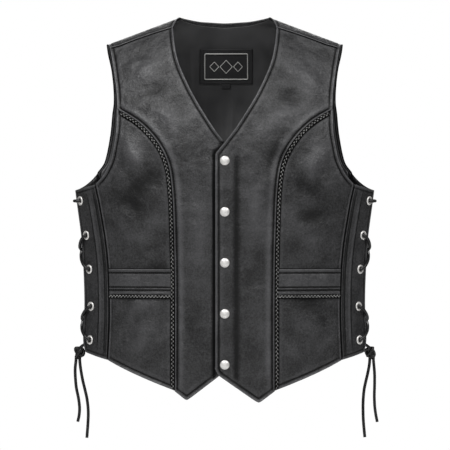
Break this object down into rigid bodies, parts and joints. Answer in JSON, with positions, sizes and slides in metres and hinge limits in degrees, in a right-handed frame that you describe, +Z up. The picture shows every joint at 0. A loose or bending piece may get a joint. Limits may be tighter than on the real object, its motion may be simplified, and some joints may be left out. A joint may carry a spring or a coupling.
{
  "type": "leather vest",
  "caption": "Worn leather vest of western cut with a V neck, snap front, braided curved seams, pocket bands and sides laced through eyelets.",
  "frame": {"origin": "midway between the shoulders of the wearer, in the plane of the side seams, at the mount worn_on_shoulders", "axes": "+X to the wearer's left, -Y out of the front, +Z up"},
  "size_m": [0.5157, 0.2376, 0.7066],
  "materials": {
    "leather": "grained cowhide, low sheen",
    "braided_leather": "plaited leather cord",
    "lace": "smooth leather lace",
    "satin_lining": "black satin",
    "woven_label": "woven patch with a pale frame",
    "nickel": "nickel plate, satin polish"
  },
  "bodies": {
    "root": {"back": "leather", "neck_facing": "leather", "back_lining": "satin_lining", "front_right": "leather", "side_panel_right": "leather", "pocket_band_right": "leather", "pocket_braid_right": "braided_leather", "seam_braid_right": "braided_leather", "eyelet_front_right_1": "nickel", "eyelet_front_right_2": "nickel", "eyelet_front_right_3": "nickel", "eyelet_front_right_4": "nickel", "eyelet_front_right_5": "nickel", "lacing_strip_front_right": "leather", "eyelet_back_right_1": "nickel", "eyelet_back_right_2": "nickel", "eyelet_back_right_3": "nickel", "eyelet_back_right_4": "nickel", "eyelet_back_right_5": "nickel", "lacing_strip_back_right": "leather", "lace_right": "lace", "lace_knot_right": "lace", "lace_tail_right_short": "lace", "lace_tail_right_long": "lace", "front_left": "leather", "side_panel_left": "leather", "pocket_band_left": "leather", "pocket_braid_left": "braided_leather", "seam_braid_left": "braided_leather", "eyelet_front_left_1": "nickel", "eyelet_front_left_2": "nickel", "eyelet_front_left_3": "nickel", "eyelet_front_left_4": "nickel", "eyelet_front_left_5": "nickel", "lacing_strip_front_left": "leather", "eyelet_back_left_1": "nickel", "eyelet_back_left_2": "nickel", "eyelet_back_left_3": "nickel", "eyelet_back_left_4": "nickel", "eyelet_back_left_5": "nickel", "lacing_strip_back_left": "leather", "lace_left": "lace", "lace_knot_left": "lace", "lace_tail_left_short": "lace", "lace_tail_left_long": "lace", "label_patch": "woven_label", "size_tab": "woven_label", "snap_cap_1": "nickel", "snap_back_1": "nickel", "snap_cap_2": "nickel", "snap_back_2": "nickel", "snap_cap_3": "nickel", "snap_back_3": "nickel", "snap_cap_4": "nickel", "snap_back_4": "nickel", "snap_cap_5": "nickel", "snap_back_5": "nickel"}
  },
  "joints": []
}
